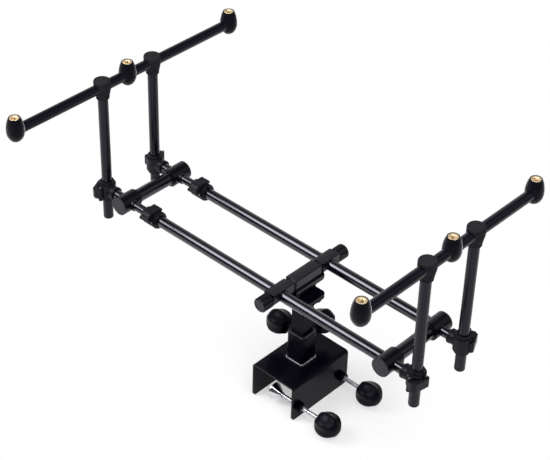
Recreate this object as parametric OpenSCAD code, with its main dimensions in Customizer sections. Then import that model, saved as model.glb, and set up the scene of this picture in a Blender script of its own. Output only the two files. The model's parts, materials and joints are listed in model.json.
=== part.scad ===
// Rod pod: a plank clamp carries a column with two telescopic main bars, and a rest for three rods stands
// at each end on sliding uprights.
// The origin is the middle of the seat face under the bracket's top plate. X runs along the buzz bars,
// Y along the main bars towards the rear rest and Z points up. Near is the -X side, far is the +X side.
// All sizes are in millimetres.

/* [Clamp bracket] */
// Length of the bracket along the edge of the plank
bracket_l = 139; // [130:1:170]
// Width of the bracket over both side plates
bracket_w = 94; // [86:1:110]
// Depth of the side plates below the seat face
bracket_drop = 68; // [60:1:80]
// Thickness of the bent plate
plate_t = 4; // [3:0.5:5]
// Outside radius of the two bends
bend_r = 6; // [5.5:0.5:10]
// Radius of the lower corners of the side plates
corner_r = 6; // [2:0.5:12]

/* [Plank screws] */
// Distance between the two plank screws
screw_spacing = 106; // [80:1:110]
// Height of the plank screws above the lower plate edges
screw_lift = 23.5; // [23.5:0.5:28]
// Diameter of all threaded rods
screw_d = 8; // [6:0.5:10]
// Diameter of the pressure pads
pad_d = 29; // [24:1:42]
// Place of the pad faces along the jaw
pad_y = 12; // [4:1:30]
// Length of the tapered feet
foot_l = 21; // [17:1:24]
// Reach of the plank screw knobs in front of the bracket
knob_reach = 65; // [50:1:90]
// Diameter of the ball knobs
knob_d = 46; // [34:1:46]

/* [Column] */
// Side of the square post
post_size = 35; // [34:0.5:45]
// Wall of the square post
post_wall = 2.5; // [1.5:0.5:3]
// Height of the post above the bracket
post_h = 58; // [50:1:76]
// Side of the square mast
mast_size = 26; // [20:0.5:27]
// Wall of the square mast
mast_wall = 2; // [1:0.5:3]
// Length of the guide sleeve inside the post
guide_l = 40; // [20:1:45]
// Thickness of the guide's rim
guide_rim = 4; // [2:0.5:8]
// Depth of the column screws below the rim of the post
lock_below = 9; // [7:0.5:12]
// Distance of the column knobs from the column axis
lock_reach = 52; // [47:1:70]

/* [Mast head] */
// Side of the mast flange and of the head plate
head_plate_size = 54; // [52:1:64]
// Thickness of the mast flange
flange_t = 4; // [3:0.5:6]
// Thickness of the head plate
head_plate_t = 5; // [3:0.5:8]
// Length of the pedestal
pedestal_l = 40; // [30:1:56]
// Width of the pedestal
pedestal_w = 26; // [20:0.5:27]
// Height of the pedestal
pedestal_h = 14; // [8:0.5:20]
// Width of the saddle plate
saddle_w = 30; // [26:0.5:36]
// Thickness of the saddle plate
saddle_t = 4; // [3:0.5:6]
// Diameter of the head and clamp bolts
bolt_d = 6; // [4:0.5:6]

/* [Bar clamp] */
// Offset of the bar clamp from the column axis towards the rear
clamp_shift = 4; // [0:0.5:6]
// Width of the bar clamps along the bars
clamp_w = 23; // [22:0.5:30]
// Reach of the bar clamps from the bar axis towards the middle
clamp_in = 24; // [24:0.5:30]
// Reach of the bar clamps from the bar axis towards the outside
clamp_out = 22; // [20:0.5:28]
// Offset of the middle beam towards the far side
beam_shift = 3; // [0:0.5:3.5]
// Length of the rebates where the blocks of the bar clamp meet
joint_l = 2.5; // [1:0.5:4]
// Depth of the rebates where the blocks of the bar clamp meet
joint_depth = 2; // [1:0.5:2.5]
// Material of the bar clamps above the bars
clamp_roof = 2.5; // [2:0.5:8]
// Material of the bar clamps below the bars
clamp_floor = 2; // [1.5:0.5:8]
// Width of the middle beam
beam_w = 24; // [22:0.5:30]
// Width of the foot of the middle beam
beam_foot_w = 31; // [31:0.5:40]
// Diameter of the ribbed end knobs
end_knob_d = 26; // [22:1:34]
// Length of the ribbed end knobs
end_knob_l = 22.5; // [16:0.5:30]

/* [Main bars] */
// Distance between the two main bars
bar_spacing = 115; // [108:1:150]
// Outside diameter of the main bars
bar_d = 20; // [19.5:0.5:23]
// Wall of the main bars
bar_wall = 1.2; // [0.8:0.1:1.4]
// Height of the main bars above the seat face
bar_z = 175; // [168:1:220]
// Distance from the column to the front cross tube
front_reach = 230; // [180:1:320]

/* [Telescope] */
// Outside diameter of the inner tubes
tube_d = 16; // [13:0.5:16.5]
// Wall of the inner tubes
tube_wall = 1.5; // [1:0.1:2]
// Length of the inner tubes inside the main bars
overlap = 202; // [120:1:240]
// Length of the guide bushes on the inner tubes
bush_l = 15; // [8:1:30]
// Distance from the column to the rear cross tube
rear_reach = 362; // [310:1:420]
// Length of the inner tubes from the main bars to the rear cross tube
tube_show = 70; // [66:1:110]

/* [Cross tubes] */
// Outside diameter of the cross tubes
cross_d = 24; // [20:0.5:26]
// Wall of the cross tubes
cross_wall = 1.5; // [1:0.1:2]
// Diameter of the bosses
boss_d = 33; // [32.5:0.5:42]
// Reach of the bosses from the bar axis towards the middle
boss_in = 16.5; // [16:0.5:26]
// Reach of the bosses from the bar axis towards the outside
boss_out = 20; // [19:0.5:26]
// Thickness of the end caps
cap_t = 2.5; // [1.5:0.5:4]
// Outside diameter of the stubs between the bosses and the collars
stub_d = 18; // [14:0.5:19]
// Wall of the stubs
stub_wall = 1.5; // [1:0.1:2]

/* [Uprights] */
// Distance from the cross tubes to the uprights
upright_offset = 54; // [50:1:70]
// Outside diameter of the uprights
upright_d = 18; // [16:0.5:20]
// Wall of the uprights
upright_wall = 1.5; // [1:0.1:2]
// Length of the uprights from the buzz bar axis to the foot
upright_l = 271; // [245:1:320]
// Height of the front buzz bar above the seat face
front_buzz_z = 390; // [340:1:415]
// Height of the rear buzz bar above the seat face
rear_buzz_z = 385; // [340:1:415]

/* [Collars and locks] */
// Height of the collars that the uprights slide in
sleeve_h = 37; // [32:1:50]
// Diameter of the lock rings
ring_d = 31; // [30:0.5:36]
// Height of the lock rings
ring_h = 26; // [22:1:30]
// Thickness of the flip levers
lever_t = 3.5; // [2.5:0.5:6]
// Reach of the flip levers past the tube axis
lever_reach = 11; // [8:1:18]
// Diameter of the lever pins
pin_d = 3; // [2:0.5:4]
// Turn of the locks on the near front and far rear collars
lock_turn_a = 10; // [0:1:30]
// Turn of the locks on the far front and near rear collars
lock_turn_b = 25; // [0:1:30]

/* [Rod rests] */
// Distance between the outer eggs of the front rest
front_span = 410; // [300:1:560]
// Distance between the outer eggs of the rear rest
rear_span = 490; // [300:1:560]
// Outside diameter of the buzz bars
buzz_d = 18; // [16:0.5:19]
// Wall of the buzz bars
buzz_wall = 1.5; // [1:0.1:2]
// Diameter of the T-heads
head_d = 30; // [29:0.5:40]
// Height of the T-heads above the buzz bar axis
head_top = 14; // [12.5:0.5:18]
// Depth of the T-heads below the buzz bar axis
head_bottom = 21; // [19:0.5:30]
// Diameter of the eggs
egg_d = 31; // [30:0.5:40]
// Height of the eggs above the buzz bar axis
egg_top = 25; // [23:0.5:30]
// Depth of the eggs below the buzz bar axis
egg_bottom = 20; // [18:0.5:30]
// Outside diameter of the brass inserts
insert_d = 17; // [14:0.5:17]
// Diameter of the threaded holes in the inserts
thread_d = 8.3; // [6:0.1:10]
// Depth of the threaded holes
thread_l = 12; // [8:0.5:12]

/* [Hidden] */
$fn = 64;
// Overrun of cutting shapes
cut = 1;
// Radial clearance of pieces that are fixed in a bore
fixed_fit = 0.03;
// Radial clearance of pieces that slide or turn in a bore
slide_fit = 0.06;
// Clearance of the square mast in its guide
mast_fit = 0.15;
// Radial clearance of plain holes around screws and bolts
hole_clear = 0.3;
// Gap between faces of separate moving pieces
face_gap = 0.4;

// Places shared by the pieces
bracket_y = bracket_w / 2;
screw_x = screw_spacing / 2;
screw_z = screw_lift - bracket_drop;
screw_r = screw_d / 2;
thread_fit_r = screw_r + slide_fit;
nut_t = 1.15 * screw_d;
nut_r = 1.2 * screw_d;
post_top = plate_t + post_h;
post_bore = post_size - 2 * post_wall;
post_corner_r = 3;
weld_r = 3;
lock_z = post_top - lock_below;
lock_tip = mast_size / 2 + face_gap;
bar_x = bar_spacing / 2;
bar_r = bar_d / 2;
bar_bore_r = bar_r - bar_wall;
bar_rear = rear_reach - tube_show;
tube_r = tube_d / 2;
upright_r = upright_d / 2;
buzz_r = buzz_d / 2;
stub_r = stub_d / 2;
bolt_r = bolt_d / 2;
bolt_head_r = 0.96 * bolt_d;
bolt_head_t = 0.67 * bolt_d;

// Knobs and feet
knob_r = knob_d / 2;
knob_flat = 0.8 * knob_r;
knob_lobes = 6;
lobe_cut_r = 1.2 * knob_r;
lobe_cut_depth = 0.1 * knob_r;
pad_r = pad_d / 2;
pad_rim = 3;
foot_neck_r = screw_r + 1.5;
foot_neck_l = 3;
foot_bore_l = 10;
foot_steps = 8;
foot_flare = 1.5;
knob_y = -bracket_y - knob_reach;

// Heights of the mast head
clamp_z = bar_z - bar_r - clamp_floor;
saddle_z = clamp_z - saddle_t;
pedestal_z = saddle_z - pedestal_h;
head_plate_z = pedestal_z - head_plate_t;
flange_z = head_plate_z - flange_t;
mast_z = plate_t + 1;
head_corner_r = 8;
head_bolt_x = mast_size / 2;
head_bolt_y = mast_size / 2 + bolt_head_r + 1.7;
head_bolt_depth = head_plate_t - 1;
clamp_bolt_x = bar_x - bar_r - bolt_r - 2.5;
clamp_bolt_depth = 7;
saddle_end = 6;

// Bar clamp
clamp_end = bar_x + clamp_out;
clamp_low = -bar_r - clamp_floor;
clamp_high = bar_r + clamp_roof;
clamp_front = clamp_shift - clamp_w / 2;
clamp_back = clamp_shift + clamp_w / 2;
clamp_edge = 0.8;
clamp_slope_w = 8;
clamp_slope_h = clamp_roof - 0.5;
clamp_under_w = 6;
clamp_under_h = 7;
beam_top = bar_r + 3.2;
beam_front = clamp_shift - beam_w / 2;
beam_back = clamp_shift + beam_w / 2;
beam_foot_t = 5.5;
stud_tip = bar_x + bar_r + face_gap;
end_knob_x = clamp_end + 2 * face_gap;
end_stud_depth = 0.6 * end_knob_l;
grip_ribs = 18;
grip_cut_r = 1.6;
grip_round = 2.5;

// Cross tube ends
boss_r = boss_d / 2;
boss_web = 1.5;
boss_seat = 2;
stub_seat = 5.5;
lip_r = cross_d / 2 + 2.5;
lip_l = 3;
neck_r = tube_r + 2;
neck_l = 3;
cross_end = bar_x - bar_r - boss_web;
plug_r = 8;
plug_l = boss_out - bar_r - boss_web - 1;
socket_y = 13;
socket_reach = 24;
socket_r = stub_r + 2.8;
socket_lip_r = stub_r + 3.6;
socket_lip_l = 4;

// Collars and locks
sleeve_r = upright_r + 3.5;
ring_r = ring_d / 2;
pin_r = pin_d / 2;
pin_x = -ring_r - 4;
pin_y = -5;
pin_dist = sqrt(pin_x * pin_x + pin_y * pin_y);
pin_u = [pin_x / pin_dist, pin_y / pin_dist];
pin_n = [-pin_u[1], pin_u[0]];
barrel_r = pin_r + 2.1;
lever_h = ring_h - 8;
ear_gap = 0.3;
ear_low = lever_h / 2 + ear_gap;
ear_t = ring_h / 2 - ear_low;
ear_root = 10;
ear_flare = 0.9;
lever_gap = 0.6;
lever_face = ring_r + 1;
lever_nose = 2.5;
lever_lip = 0.8 * ring_r;
slot_w = 2;
bar_ring_y = bar_rear + 4;
bar_sleeve_front = 12;
bar_sleeve_back = 19;
bar_sleeve_r = bar_r + 4;
tube_sleeve_r = tube_r + 4.5;

// Rests
egg_peak = 1.32 * egg_top;
egg_steps = 16;
egg_r = egg_d / 2;
egg_end_wall = 10;
egg_profile = concat(
    [for (i = [0 : egg_steps]) let (a = -90 + 90 * i / egg_steps) [egg_r * cos(a), egg_bottom * sin(a)]],
    [for (i = [1 : egg_steps])
        let (z = egg_top * i / egg_steps)
            [egg_r * sqrt(1 - pow(z / egg_peak, 2)), z]],
    [[0, egg_top]]
);
insert_floor = buzz_r + 1.5;
head_r = head_d / 2;
head_round = 3;
head_waist = 0.25;
head_collar_r = upright_r + 2.6;
head_collar_l = 5;
plug_cap = 4;
plug_round = 3;
plug_in = 10;
upright_top = buzz_r + 1;

// Colours
coat_black = [0.05, 0.05, 0.055];
bar_black = [0.02, 0.02, 0.025];
tube_black = [0.04, 0.04, 0.06];
plastic_black = [0.06, 0.06, 0.065];
soft_black = [0.045, 0.045, 0.05];
cap_grey = [0.3, 0.3, 0.32];
chrome_grey = [0.8, 0.8, 0.82];
steel_grey = [0.6, 0.6, 0.62];
brass_gold = [0.76, 0.58, 0.28];

// Turn the Z axis of a shape to X
module along_x() {
    rotate([0, 90, 0])
        children();
}

// Turn the Z axis of a shape to Y
module along_y() {
    rotate([-90, 0, 0])
        children();
}

// Draw a shape on the near and on the far main bar
module both_bars() {
    for (side = [-1, 1])
        translate([side * bar_x, 0, 0])
            children();
}

// Round tube from z = 0 up
module tube(d, wall, l) {
    difference() {
        cylinder(d = d, h = l);
        translate([0, 0, -cut])
            cylinder(d = d - 2 * wall, h = l + 2 * cut);
    }
}

// Upright block with rounded corners, centred in X and Y
module rounded_block(w, l, h, r) {
    translate([-w / 2 + r, -l / 2, 0])
        cube([w - 2 * r, l, h]);
    translate([-w / 2, -l / 2 + r, 0])
        cube([w, l - 2 * r, h]);
    for (sx = [-1, 1], sy = [-1, 1])
        translate([sx * (w / 2 - r), sy * (l / 2 - r), 0])
            cylinder(r = r, h = h);
}

// Block with square corners, centred in X and Y
module square_block(w, h) {
    translate([-w / 2, -w / 2, 0])
        cube([w, w, h]);
}

// Straight bar along X with a profile drawn in Y and Z
module profile_x(points, x0, l) {
    translate([x0, 0, 0])
        rotate([90, 0, 90])
            linear_extrude(height = l)
                polygon(points);
}

// Points of a quarter turn, from angle a to angle b, round a centre
function arc(cx, cy, r, a, b, n = 6) =
    [for (i = [0 : n]) [cx + r * cos(a + (b - a) * i / n), cy + r * sin(a + (b - a) * i / n)]];

// Hex nut with a threaded hole, from z = 0 up
module weld_nut() {
    difference() {
        cylinder(r = nut_r, h = nut_t, $fn = 6);
        translate([0, 0, -cut])
            cylinder(r = thread_fit_r, h = nut_t + 2 * cut);
    }
}

// Lobed ball knob: centre at the origin, flat towards +Z, blind hole for the rod
module ball_knob() {
    difference() {
        sphere(r = knob_r);
        translate([-knob_r, -knob_r, knob_flat])
            cube([knob_d, knob_d, knob_r]);
        for (i = [0 : knob_lobes - 1])
            rotate([0, 0, i * 360 / knob_lobes])
                translate([knob_r + lobe_cut_r - lobe_cut_depth, 0, -knob_r])
                    cylinder(r = lobe_cut_r, h = knob_d);
        cylinder(r = screw_r + fixed_fit, h = knob_r);
    }
}

// Ribbed round grip from z = 0 up with a blind hole for its stud
module ribbed_grip() {
    difference() {
        rotate_extrude()
            polygon(concat(
                [[0, 0], [end_knob_d / 2, 0]],
                arc(end_knob_d / 2 - grip_round, end_knob_l - grip_round, grip_round, 0, 90),
                [[0, end_knob_l]]
            ));
        for (i = [0 : grip_ribs - 1])
            rotate([0, 0, i * 360 / grip_ribs])
                translate([end_knob_d / 2 + grip_cut_r / 2, 0, -cut])
                    cylinder(r = grip_cut_r, h = end_knob_l + 2 * cut);
        translate([0, 0, -cut])
            cylinder(r = screw_r + fixed_fit, h = end_stud_depth + cut);
    }
}

// Hex-headed bolt with its head below z = 0 and its shank up to l
module bolt_up(l) {
    translate([0, 0, -bolt_head_t])
        cylinder(r = bolt_head_r, h = bolt_head_t, $fn = 6);
    cylinder(r = bolt_r, h = l);
}

// Plank clamp

module bracket_block() {
    translate([-bracket_l / 2, -bracket_y, -bracket_drop])
        cube([bracket_l, bracket_w, bracket_drop + plate_t - bend_r]);
    translate([-bracket_l / 2, -bracket_y + bend_r, -bracket_drop])
        cube([bracket_l, bracket_w - 2 * bend_r, bracket_drop + plate_t]);
    for (side = [-1, 1])
        translate([-bracket_l / 2, side * (bracket_y - bend_r), plate_t - bend_r])
            along_x()
                cylinder(r = bend_r, h = bracket_l);
}

module bracket_corner() {
    translate([bracket_l / 2 - corner_r, -bracket_y - cut, -bracket_drop + corner_r])
        difference() {
            translate([0, 0, -corner_r - cut])
                cube([corner_r + cut, bracket_w + 2 * cut, corner_r + cut]);
            translate([0, -cut, 0])
                along_y()
                    cylinder(r = corner_r, h = bracket_w + 4 * cut);
        }
}

module clamp_bracket() {
    color(coat_black)
        difference() {
            bracket_block();
            translate([-bracket_l / 2 - cut, -bracket_y + plate_t, -bracket_drop - cut])
                cube([bracket_l + 2 * cut, bracket_w - 2 * plate_t, bracket_drop + cut]);
            bracket_corner();
            mirror([1, 0, 0])
                bracket_corner();
            for (side = [-1, 1])
                translate([side * screw_x, -bracket_y - cut, screw_z])
                    along_y()
                        cylinder(r = screw_r + hole_clear, h = plate_t + 2 * cut);
        }
}

module weld_bead() {
    for (a = [0 : 90 : 270])
        rotate([0, 0, a]) {
            translate([-post_size / 2 + post_corner_r, post_size / 2, plate_t])
                along_x()
                    cylinder(r = weld_r, h = post_size - 2 * post_corner_r);
            translate([post_size / 2 - post_corner_r / 2, post_size / 2 - post_corner_r / 2, plate_t])
                sphere(r = weld_r);
        }
}

// Cut the two holes of the column screws
module lock_holes() {
    translate([0, 0, lock_z]) {
        along_y()
            cylinder(r = screw_r + hole_clear, h = post_size);
        along_x()
            cylinder(r = screw_r + hole_clear, h = post_size);
    }
}

module post() {
    color(coat_black)
        difference() {
            union() {
                translate([0, 0, plate_t])
                    rounded_block(post_size, post_size, post_h, post_corner_r);
                weld_bead();
            }
            translate([0, 0, plate_t - 2 * weld_r])
                square_block(2 * post_size, 2 * weld_r);
            translate([0, 0, plate_t - cut])
                square_block(post_bore, post_h + 2 * cut);
            lock_holes();
        }
}

module mast_guide() {
    color(plastic_black)
        difference() {
            union() {
                translate([0, 0, post_top])
                    rounded_block(post_size, post_size, guide_rim, post_corner_r);
                translate([0, 0, post_top - guide_l])
                    square_block(post_bore - 2 * fixed_fit, guide_l);
            }
            translate([0, 0, post_top - guide_l - cut])
                square_block(mast_size + 2 * mast_fit, guide_l + guide_rim + 2 * cut);
            lock_holes();
        }
}

module weld_nuts() {
    color(steel_grey) {
        for (side = [-1, 1])
            translate([side * screw_x, -bracket_y - nut_t, screw_z])
                along_y()
                    weld_nut();
        translate([0, post_size / 2, lock_z])
            along_y()
                weld_nut();
        translate([post_size / 2, 0, lock_z])
            along_x()
                weld_nut();
    }
}

// Plank screws

module clamp_foot(side) {
    translate([side * screw_x, pad_y - foot_l, screw_z])
        along_y()
            difference() {
                rotate_extrude()
                    polygon(concat(
                        [[0, 0], [foot_neck_r, 0]],
                        [for (i = [0 : foot_steps])
                            let (t = i / foot_steps)
                                [foot_neck_r + (pad_r - foot_neck_r) * pow(t, foot_flare),
                                 foot_neck_l + (foot_l - pad_rim - foot_neck_l) * t]],
                        [[pad_r, foot_l], [0, foot_l]]
                    ));
                translate([0, 0, -cut])
                    cylinder(r = thread_fit_r, h = foot_bore_l + cut);
            }
}

module clamp_screw(side) {
    translate([side * screw_x, knob_y, screw_z])
        along_y()
            cylinder(r = screw_r, h = pad_y - foot_l + foot_bore_l - slide_fit - knob_y);
}

module clamp_knob(side) {
    translate([side * screw_x, knob_y, screw_z])
        along_y()
            ball_knob();
}

module near_clamp_foot() {
    color(chrome_grey)
        clamp_foot(-1);
}

module far_clamp_foot() {
    color(chrome_grey)
        clamp_foot(1);
}

module near_clamp_screw() {
    color(chrome_grey)
        clamp_screw(-1);
}

module far_clamp_screw() {
    color(chrome_grey)
        clamp_screw(1);
}

module near_clamp_knob() {
    color(plastic_black)
        clamp_knob(-1);
}

module far_clamp_knob() {
    color(plastic_black)
        clamp_knob(1);
}

// Column locks, drawn along Z with the mast on the -Z side

module lock_screw() {
    translate([0, 0, lock_tip])
        cylinder(r = screw_r, h = lock_reach - lock_tip);
}

module lock_knob() {
    translate([0, 0, lock_reach])
        rotate([180, 0, 0])
            ball_knob();
}

module rear_lock_screw() {
    color(steel_grey)
        translate([0, 0, lock_z])
            along_y()
                lock_screw();
}

module rear_lock_knob() {
    color(plastic_black)
        translate([0, 0, lock_z])
            along_y()
                lock_knob();
}

module side_lock_screw() {
    color(steel_grey)
        translate([0, 0, lock_z])
            along_x()
                lock_screw();
}

module side_lock_knob() {
    color(plastic_black)
        translate([0, 0, lock_z])
            along_x()
                lock_knob();
}

// Mast head

// Draw a shape at each of the four head bolts
module at_head_bolts() {
    for (sx = [-1, 1], sy = [-1, 1])
        translate([sx * head_bolt_x, sy * head_bolt_y, flange_z])
            children();
}

module clamp_bolt_holes(r, l) {
    for (side = [-1, 1])
        translate([side * clamp_bolt_x, clamp_shift, saddle_z - cut])
            cylinder(r = r, h = l + cut);
}

module mast() {
    color(coat_black)
        difference() {
            union() {
                translate([0, 0, mast_z])
                    square_block(mast_size, flange_z - mast_z);
                translate([0, 0, flange_z])
                    rounded_block(head_plate_size, head_plate_size, flange_t, head_corner_r);
            }
            translate([0, 0, mast_z - cut])
                square_block(mast_size - 2 * mast_wall, flange_z - mast_z + cut);
            at_head_bolts()
                translate([0, 0, -cut])
                    cylinder(r = bolt_r + hole_clear, h = flange_t + 2 * cut);
        }
}

module saddle() {
    saddle_half = clamp_bolt_x + saddle_end - saddle_w / 2;
    color(coat_black)
        difference() {
            union() {
                translate([0, 0, head_plate_z])
                    rounded_block(head_plate_size, head_plate_size, head_plate_t, head_corner_r);
                translate([-pedestal_l / 2, clamp_shift - pedestal_w / 2, pedestal_z])
                    cube([pedestal_l, pedestal_w, pedestal_h]);
                translate([-saddle_half, clamp_shift - saddle_w / 2, saddle_z])
                    cube([2 * saddle_half, saddle_w, saddle_t]);
                for (side = [-1, 1])
                    translate([side * saddle_half, clamp_shift, saddle_z])
                        cylinder(r = saddle_w / 2, h = saddle_t);
            }
            at_head_bolts()
                cylinder(r = bolt_r + fixed_fit, h = flange_t + head_bolt_depth);
            clamp_bolt_holes(bolt_r + hole_clear, saddle_t + cut);
        }
}

module head_bolts() {
    color(steel_grey)
        at_head_bolts()
            bolt_up(flange_t + head_bolt_depth);
}

module clamp_bolts() {
    color(steel_grey)
        for (side = [-1, 1])
            translate([side * clamp_bolt_x, clamp_shift, saddle_z])
                bolt_up(saddle_t + clamp_bolt_depth);
}

// Bar clamp

// Inner end of the bar clamp on one side, measured from the column axis
function clamp_inner(side) = bar_x - clamp_in + side * beam_shift;

// Section of the middle beam in Y and Z, drawn in by an inset above its foot
function beam_section(inset, front, back, top, ledge) = [
    [clamp_shift - beam_foot_w / 2, clamp_low], [clamp_shift + beam_foot_w / 2, clamp_low],
    [clamp_shift + beam_foot_w / 2, ledge], [back - inset, ledge],
    [back - inset, top - clamp_slope_h - inset], [back - clamp_slope_w - inset, top - inset],
    [front + clamp_edge + inset, top - inset], [front + inset, top - clamp_edge - inset],
    [front + inset, ledge], [clamp_shift - beam_foot_w / 2, ledge]
];

module clamp_beam() {
    near_half = clamp_inner(-1) - face_gap;
    beam_l = near_half + clamp_inner(1) - face_gap;
    ledge = clamp_low + beam_foot_t;
    color(plastic_black)
        translate([0, 0, bar_z]) {
            profile_x(beam_section(joint_depth, beam_front, beam_back, beam_top, ledge), -near_half, beam_l);
            profile_x(
                beam_section(0, beam_front, beam_back, beam_top, ledge), joint_l - near_half, beam_l - 2 * joint_l
            );
        }
}

// Section of the bar clamps in Y and Z, drawn in by an inset above the lower slopes
function clamp_section(inset, front, back) = [
    [front + clamp_under_w, clamp_low], [back - clamp_under_w, clamp_low],
    [back - inset, clamp_low + clamp_under_h], [back - inset, clamp_high - clamp_slope_h - inset],
    [back - clamp_slope_w - inset, clamp_high - inset], [front + clamp_edge + inset, clamp_high - inset],
    [front + inset, clamp_high - clamp_edge - inset], [front + inset, clamp_low + clamp_under_h]
];

// Bar clamp of one side, drawn on the far side
module bar_clamp(side) {
    inner = clamp_inner(side);
    block_l = clamp_end - inner;
    difference() {
        translate([0, 0, bar_z]) {
            profile_x(clamp_section(joint_depth, clamp_front, clamp_back), inner, block_l);
            profile_x(clamp_section(0, clamp_front, clamp_back), inner + joint_l, block_l - joint_l);
        }
        translate([bar_x, clamp_front - cut, bar_z])
            along_y()
                cylinder(r = bar_r + slide_fit, h = clamp_w + 2 * cut);
        translate([bar_x, clamp_shift, bar_z])
            along_x()
                cylinder(r = thread_fit_r, h = clamp_out + cut);
        clamp_bolt_holes(bolt_r + fixed_fit, saddle_t + clamp_bolt_depth);
    }
}

module bar_clamps() {
    color(plastic_black) {
        bar_clamp(1);
        mirror([1, 0, 0])
            bar_clamp(-1);
    }
}

module end_stud() {
    translate([stud_tip, clamp_shift, bar_z])
        along_x()
            cylinder(r = screw_r, h = end_knob_x + end_stud_depth - stud_tip);
}

module end_grip() {
    translate([end_knob_x, clamp_shift, bar_z])
        along_x()
            ribbed_grip();
}

module near_end_stud() {
    color(steel_grey)
        mirror([1, 0, 0])
            end_stud();
}

module near_end_grip() {
    color(plastic_black)
        mirror([1, 0, 0])
            end_grip();
}

module far_end_stud() {
    color(steel_grey)
        end_stud();
}

module far_end_grip() {
    color(plastic_black)
        end_grip();
}

// Cross tubes and their ends, drawn with the column on the +Y side

// Move a front end shape to the front cross tube
module at_front() {
    translate([0, -front_reach, bar_z])
        children();
}

// Move a front end shape to the rear cross tube, turned to face the column
module at_rear() {
    translate([0, rear_reach, bar_z])
        rotate([0, 0, 180])
            children();
}

module boss(bore_r, neck) {
    difference() {
        union() {
            translate([bar_x - boss_in, 0, 0])
                along_x()
                    cylinder(r = boss_r, h = boss_in + boss_out);
            translate([bar_x - boss_in - lip_l, 0, 0])
                along_x()
                    cylinder(r = lip_r, h = lip_l + cut);
            if (neck)
                translate([bar_x, 0, 0])
                    along_y()
                        cylinder(r = neck_r, h = boss_r + neck_l);
        }
        translate([bar_x, boss_seat, 0])
            along_y()
                cylinder(r = bore_r + fixed_fit, h = boss_r + neck_l);
        translate([bar_x, -stub_seat, 0])
            rotate([90, 0, 0])
                cylinder(r = stub_r + fixed_fit, h = boss_r);
        along_x()
            cylinder(r = cross_d / 2 + fixed_fit, h = cross_end);
        translate([bar_x + boss_out - plug_l, 0, 0])
            along_x()
                cylinder(r = plug_r + fixed_fit, h = plug_l + cut);
    }
}

module boss_pair(bore_r, neck) {
    boss(bore_r, neck);
    mirror([1, 0, 0])
        boss(bore_r, neck);
}

module cross_tube() {
    translate([-cross_end, 0, 0])
        along_x()
            tube(cross_d, cross_wall, 2 * cross_end);
}

module end_cap() {
    translate([bar_x + boss_out, 0, 0])
        along_x()
            cylinder(r = boss_r, h = cap_t);
    translate([bar_x + boss_out - plug_l, 0, 0])
        along_x()
            cylinder(r = plug_r, h = plug_l + cut);
}

module end_cap_pair() {
    end_cap();
    mirror([1, 0, 0])
        end_cap();
}

module stub_pair() {
    both_bars()
        translate([0, -stub_seat, 0])
            rotate([90, 0, 0])
                tube(stub_d, stub_wall, upright_offset - stub_seat - socket_y);
}

// Flip lock, drawn with the tube along Z, the lever on the -Y side and its pin on the -X side

module lock_ear() {
    tip = [pin_x, pin_y];
    root = tip - ear_root * pin_u;
    side = barrel_r * pin_n;
    wide = (barrel_r + ear_flare) * pin_n;
    linear_extrude(height = ear_t)
        polygon([tip + side, tip - side, root - wide, root + wide]);
    translate([pin_x, pin_y, 0])
        cylinder(r = barrel_r, h = ear_t);
}

// Ring and ears of a flip lock
module lock_ring() {
    translate([0, 0, -ring_h / 2])
        cylinder(r = ring_r, h = ring_h);
    for (z = [ear_low, -ring_h / 2])
        translate([0, 0, z])
            lock_ear();
}

// Hole for the pin of a flip lock
module pin_hole() {
    translate([pin_x, pin_y, -ring_h / 2 - cut])
        cylinder(r = pin_r, h = ring_h + 2 * cut);
}

module lock_pin() {
    translate([pin_x, pin_y, -ring_h / 2])
        cylinder(r = pin_r, h = ring_h);
}

module flip_lever() {
    back = -lever_face - lever_t;
    left = pin_x - barrel_r;
    bend = 0.35 * ring_r;
    difference() {
        union() {
            translate([pin_x, pin_y, -lever_h / 2])
                cylinder(r = barrel_r, h = lever_h);
            translate([0, 0, -lever_h / 2])
                linear_extrude(height = lever_h)
                    polygon([
                        [left, pin_y], [left, back + bend], [left + bend, back],
                        [lever_reach - lever_nose, back], [lever_reach, back + lever_nose],
                        [lever_reach, -lever_lip], [0, -lever_lip], [pin_x + barrel_r - lever_gap, pin_y]
                    ]);
        }
        translate([0, 0, -lever_h])
            cylinder(r = ring_r + lever_gap, h = 2 * lever_h);
        translate([pin_x, pin_y, -lever_h])
            cylinder(r = pin_r + slide_fit, h = 2 * lever_h);
    }
}

// Place a lock on the near upright of a front end
module lock_place_a() {
    translate([-bar_x, -upright_offset, 0])
        rotate([0, 0, -lock_turn_a])
            children();
}

// Place a lock on the far upright of a front end
module lock_place_b() {
    translate([bar_x, -upright_offset, 0])
        rotate([0, 0, lock_turn_b])
            mirror([1, 0, 0])
                children();
}

// Place a lock on a main bar
module lock_place_bar(side) {
    translate([side * bar_x, bar_ring_y, bar_z])
        along_y()
            children();
}

// Collar body with its socket towards the boss, drawn round the upright axis
module collar_body() {
    translate([0, 0, -sleeve_h / 2])
        cylinder(r = sleeve_r, h = sleeve_h);
    along_y()
        cylinder(r = socket_r, h = socket_reach);
    translate([0, socket_reach - socket_lip_l, 0])
        along_y()
            cylinder(r = socket_lip_r, h = socket_lip_l);
}

module collar_bores() {
    translate([0, 0, -sleeve_h])
        cylinder(r = upright_r + slide_fit, h = 2 * sleeve_h);
    translate([0, socket_y, 0])
        along_y()
            cylinder(r = stub_r + fixed_fit, h = socket_reach);
}

module lock_slot() {
    translate([-slot_w / 2, -2 * ring_r, -sleeve_h])
        cube([slot_w, 2 * ring_r - upright_r + cut, 2 * sleeve_h]);
}

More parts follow.
